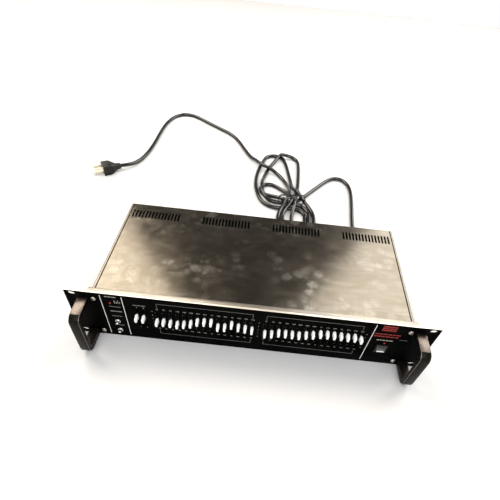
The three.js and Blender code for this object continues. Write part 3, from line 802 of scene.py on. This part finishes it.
def plug_ribs():
    """Raised finger grips across both sides of the plug's body."""
    at = local(PLUG_X, PLUG_Y, 0) @ turn(PLUG_HEADING, "Z")
    bm = bmesh.new()
    for k in range(GRIPS):
        along = GRIP_START + GRIP_PITCH * k
        for across in GRIP_SIDES:
            box(bm, (along, along + GRIP_WIDTH), across, GRIP_Z, at)
    soften(bm, GRIP_EDGE)
    return attach(finish_mesh("plug_ribs", bm, "plug_rubber"), "case")


plug = rounded(
    "mains_plug", width=2.4, segments=3, other=("brass", lambda at, normal: is_pin(at)),
    keep=lambda at: is_pin(at, margin=-PIN_MARGIN))
ribs = plug_ribs()

# ------------------------------------------------------------------ tie round the hank
TIE_X, TIE_Y, TIE_HEADING = 57.5, 361, 8
# The band is a flattened ring: its half width, the height of its middle, and its half height. It
# sways to the front and back some times on its way round.
TIE_HALF, TIE_MIDDLE, TIE_RISE, TIE_STEPS = 27, 11.8, 11.2, 48
TIE_SWAY, TIE_SWAYS, TIE_SQUARING = 1.6, 3, (0.5, 0.6)
TIE_SECTION = ((-0.5, -1.6), (0.5, -1.6), (0.5, 1.6), (-0.5, 1.6))
# Each end is a row of sections that turn by END_TWIST radians from one to the next.
END_START, END_TOP, END_STEPS, END_PITCH, END_TWIST, END_RADIUS = 4, 22.6, 11, 1.2, 0.9, 1.1
END_DROOP, END_SPREAD = 0.035, 0.3
END_SECTION = ((-1.2, -0.35), (1.2, -0.35), (1.2, 0.35), (-1.2, 0.35))


def squared(value, power):
    """A sine or cosine with its size raised to a power below one, which makes a circle squarer."""
    return math.copysign(abs(value) ** power, value)


def tie_band(bm, at):
    """The strip round the cord, a little out of true."""
    turns = [2 * math.pi * k / TIE_STEPS for k in range(TIE_STEPS)]
    across, upright = TIE_SQUARING
    outline = [
        (TIE_HALF * squared(math.cos(a), across), TIE_MIDDLE + TIE_RISE * squared(math.sin(a), upright))
        for a in turns]
    rings = []
    for k, (x, z) in enumerate(outline):
        back, ahead = outline[k - 1], outline[(k + 1) % TIE_STEPS]
        along = Vector((ahead[0] - back[0], 0, ahead[1] - back[1])).normalized()
        out = Vector((along.z, 0, -along.x))
        middle = Vector((x, TIE_SWAY * math.sin(TIE_SWAYS * turns[k]), z))
        rings.append([
            bm.verts.new(at @ ((middle + out * o + Vector((0, w, 0))) * MM)) for o, w in TIE_SECTION])
    for k, ring in enumerate(rings):
        skin(bm, rings[k - 1], ring)


def tie_end(bm, at, sign):
    """One of the strip's two ends, which twist round each other and droop."""
    rings = []
    for k in range(END_STEPS):
        a = END_TWIST * k * sign
        droop = END_DROOP * k * k * (1 + END_SPREAD * sign)
        middle = Vector((
            END_START + END_PITCH * k, END_RADIUS * math.sin(a),
            END_TOP - droop + END_RADIUS * math.cos(a)))
        side = Vector((0, math.cos(a), -math.sin(a)))
        up = Vector((0, math.sin(a), math.cos(a)))
        rings.append([bm.verts.new(at @ ((middle + side * u + up * v) * MM)) for u, v in END_SECTION])
    for one, two in zip(rings, rings[1:]):
        skin(bm, one, two)
    bm.faces.new(rings[0])
    bm.faces.new(rings[-1])


def tie():
    """A strip of plastic drawn round the hank where its loops cross."""
    at = local(TIE_X, TIE_Y, 0) @ turn(TIE_HEADING, "Z")
    bm = bmesh.new()
    tie_band(bm, at)
    for sign in SIDES.values():
        tie_end(bm, at, sign)
    return attach(finish_mesh("cord_tie", bm, "plug_rubber", sharp=45), "case")


tie()

# ------------------------------------------------------------------ printing on the panel
# The ink lies between these two distances from the panel's face.
INK_BACK, INK_FRONT = 0.01, 0.06
# A capital letter's height, as a share of the lettering's size.
CAPITAL = 0.7
BANDS = (
    "25", "40", "63", "100", "160", "250", "400", "630", "1k", "1k6", "2k5", "4k", "6k3", "10k", "16k")
BANKS_X, BAND_PITCH = (-124.5, 19), 9
LEVELS_X = (-151, -142)
RULES_X, RULE_HALF, RULE_Z = (-196, -168.2, 159.3), 0.45, (4.5, 84.5)
# Each bracket is the height of its long rail and the height that its legs reach.
BRACKETS, BRACKET_WIDTH = ((78.5, 70.5), (15.5, 23)), 0.5
TICKS_Z, TICK_X, TICK_HALF = (35, 41.25, 47.5, 53.75, 60), (-3.4, -1.9), 0.15
# Lettering is its own height and that of its foot on the panel.
BAND_LETTERING = ((2.3, 66.6), (1.9, 26))
LEVEL_LETTERING = ((3, 66), (2, 25))
GAINS = (("12", 61.6), ("6", 54.2), ("0", 46.7), ("6", 39.2), ("12", 31.8))
GAINS_X, GAIN_HEIGHT = (-131.5, 10, 152), 1.7
# A row of dashes stands for words: its left end, its height on the panel, each word's width, and
# how tall the words are.
DIM_CAPTIONS = (
    (-155.4, 71.5, (4.5, 5, 5), 1.2), (-187.5, 64, (5, 3, 5.5), 1), (-187, 24.8, (4, 3, 4.5), 1.1),
    (-187, 44.3, (5, 3.5, 3), 1), (197, 58, (10,), 0.5))
PALE_CAPTIONS = (
    (-190, 83, (3, 4.5, 5.5), 1.3), (-187.5, 54.5, (6, 2.5, 5), 1.2),
    (168, 54, (3.5, 2, 4.5, 3, 5), 1.7))
RED_CAPTIONS = (
    (168, 83.2, (18.5,), 2.6), (168, 79.4, (8, 9.7), 2.6), (168, 75.6, (18.5,), 2.6),
    (162, 67.2, (5, 4, 6, 5, 4, 5.5), 2.2), (161.5, 62.2, (4, 5.5, 3.5, 6, 4.5, 5), 2.2))
WORD_GAP = 0.8
# The upright marks beside the overload light are by turns tall and short.
PEAKS, PEAK_X, PEAK_PITCH, PEAK_FOOT, PEAK_TOPS = 4, (-179, -178.2), 2.2, 71, (77, 74.5)


def lettering(words, height, x, z):
    """A mesh of upright letters, centred on x with their foot at z, facing the front."""
    curve = bpy.data.curves.new("words", "FONT")
    curve.body, curve.size, curve.align_x = words, height * MM / CAPITAL, "CENTER"
    curve.resolution_u, curve.extrude = 2, (INK_FRONT - INK_BACK) / 2 * MM
    writer = put_in_scene("words", curve)
    bpy.context.view_layer.update()
    made = writer.evaluated_get(bpy.context.evaluated_depsgraph_get())
    bm = bmesh.new()
    bm.from_mesh(made.to_mesh())
    made.to_mesh_clear()
    bpy.data.objects.remove(writer)
    stand = local(x, -(INK_FRONT + INK_BACK) / 2, z) @ FACING_FRONT
    bmesh.ops.transform(bm, matrix=stand, verts=bm.verts)
    bmesh.ops.remove_doubles(bm, verts=bm.verts, dist=1e-7)
    mesh = bpy.data.meshes.new("words")
    bm.to_mesh(mesh)
    bm.free()
    return mesh


def ink(name, material, bars, words=()):
    """Flat bars given as (x0, x1, z0, z1) and words as (text, height, x, z), as one layer of ink."""
    bm = bmesh.new()
    for x0, x1, z0, z1 in bars:
        box(bm, (x0, x1), (-INK_FRONT, -INK_BACK), (z0, z1), matrix=local(0, 0, 0))
    for text, height, x, z in words:
        mesh = lettering(text, height, x, z)
        bm.from_mesh(mesh)
        bpy.data.meshes.remove(mesh)
    return attach(finish_mesh(name, bm, material, sharp=20), "case")


def bracket(x0, x1, rail, foot):
    """A long rail with a short leg at each end that points to the faders."""
    low, high = sorted((rail, foot))
    half = BRACKET_WIDTH / 2
    return [
        (x0, x1, rail - half, rail + half), (x0, x0 + BRACKET_WIDTH, low, high),
        (x1 - BRACKET_WIDTH, x1, low, high)]


def captions(rows):
    bars = []
    for x, z, widths, height in rows:
        for width in widths:
            bars.append((x, x + width, z - height / 2, z + height / 2))
            x += width + WORD_GAP
    return bars


def bank_marks(bank_x):
    """The brackets above and below one bank, and five ticks beside each of its faders."""
    last_x = bank_x + (len(BANDS) - 1) * BAND_PITCH
    bars = [bar for rail, foot in BRACKETS for bar in bracket(bank_x, last_x, rail, foot)]
    for k in range(len(BANDS)):
        x0, x1 = (bank_x + k * BAND_PITCH + x for x in TICK_X)
        bars += [(x0, x1, z - TICK_HALF, z + TICK_HALF) for z in TICKS_Z]
    return bars


def scale_words():
    """The frequency above and below each fader, the gains beside the banks, and the levels' numbers."""
    words = [
        (label, height, bank_x + k * BAND_PITCH, z)
        for bank_x in BANKS_X for k, label in enumerate(BANDS) for height, z in BAND_LETTERING]
    words += [(label, GAIN_HEIGHT, x, z) for label, z in GAINS for x in GAINS_X]
    words += [
        (str(k + 1), height, x, z) for k, x in enumerate(LEVELS_X) for height, z in LEVEL_LETTERING]
    return words


peaks = [
    (*(x + PEAK_PITCH * k for x in PEAK_X), PEAK_FOOT, PEAK_TOPS[k % 2]) for k in range(PEAKS)]
bank_bars = [bar for bank_x in BANKS_X for bar in bank_marks(bank_x)]
ink("print_rules", "print_white", [(x - RULE_HALF, x + RULE_HALF, *RULE_Z) for x in RULES_X])
ink("print_brackets", "print_dim", bank_bars + captions(DIM_CAPTIONS))
ink("print_scales", "print_scale", [], scale_words())
ink("print_captions", "print_scale", captions(PALE_CAPTIONS) + peaks)
ink("print_red_marks", "print_red", captions(RED_CAPTIONS))

# ------------------------------------------------------------------ floor and light
# The floor's sides in metres, and the point of the case that the lamps face in millimetres.
FLOOR_X, FLOOR_Y = (-1.9, 1.9), (-1.5, 1.9)
LIT_POINT = (0, 95, 80)


def make_floor():
    mesh = bpy.data.meshes.new("floor")
    corners = [(x, y, 0) for x, y in zip((*FLOOR_X, *reversed(FLOOR_X)), np.repeat(FLOOR_Y, 2))]
    mesh.from_pydata(corners, [], [(0, 1, 2, 3)])
    floor = put_in_scene("floor", mesh)
    finish = Finish("floor", (0.52, 0.52, 0.52), 0.9, specular=0.1)
    finish.color(finish.noise(3, 2), (0.51, 0.51, 0.51), (0.53, 0.53, 0.53))
    mesh.materials.append(finish.material)


def softbox(name, azimuth, elevation, distance, size, radiance, color=(1, 1, 1)):
    """A rectangular lamp that faces the middle of the case.

    Seen from there it is at that azimuth, from +Y towards +X, and that elevation, in degrees.
    """
    light = bpy.data.lights.new(name, "AREA")
    light.shape = "RECTANGLE"
    light.size, light.size_y = size
    light.energy = radiance * math.pi * size[0] * size[1]
    light.color = color
    lamp = put_in_scene(name, light)
    a, e = math.radians(azimuth), math.radians(elevation)
    outward = Vector((math.sin(a) * math.cos(e), math.cos(a) * math.cos(e), math.sin(e)))
    lamp.location = place(*LIT_POINT) + outward * distance
    lamp.rotation_mode = "QUATERNION"
    lamp.rotation_quaternion = (-outward).to_track_quat("-Z", "Y")


def studio_world(low, high, turn_from, turn_to):
    """A white room below and round about, dark overhead; it turns between two sines of elevation."""
    world = bpy.data.worlds.new("studio")
    bpy.context.scene.world = world
    world.use_nodes = True
    tree = world.node_tree
    direction = tree.nodes.new("ShaderNodeTexCoord").outputs["Generated"]
    split = tree.nodes.new("ShaderNodeSeparateXYZ")
    fall = tree.nodes.new("ShaderNodeMapRange")
    levels = {"From Min": turn_from, "From Max": turn_to, "To Min": low, "To Max": high}
    for socket, value in levels.items():
        fall.inputs[socket].default_value = value
    tree.links.new(direction, split.inputs["Vector"])
    tree.links.new(split.outputs["Z"], fall.inputs["Value"])
    tree.links.new(fall.outputs["Result"], tree.nodes["Background"].inputs["Strength"])
    tree.nodes["Background"].inputs["Color"].default_value = (1, 1, 1, 1)


make_floor()
studio_world(low=1.0, high=0.07, turn_from=0.3, turn_to=0.55)
softbox("left_box", -50, 47, distance=2.2, size=(1.4, 1.5), radiance=9.6, color=(1, 0.91, 0.8))
softbox("right_box", 46, 40, distance=2.2, size=(1.5, 1.7), radiance=7.8, color=(1, 0.96, 0.91))
softbox("top_box", 180, 76, distance=3.0, size=(3.2, 2.2), radiance=2.4)
softbox("front_box", 180, 38, distance=2.6, size=(2.2, 1.2), radiance=6.0)
bpy.context.scene.view_settings.view_transform = "Standard"

# ------------------------------------------------------------------ materials of the CAD parts and the cord
for node, piece in NODES.items():
    piece.data.materials.clear()
    piece.data.materials.append(MATERIALS[SLOT_OF[node]])
cord.data.materials.append(MATERIALS["cord_rubber"])
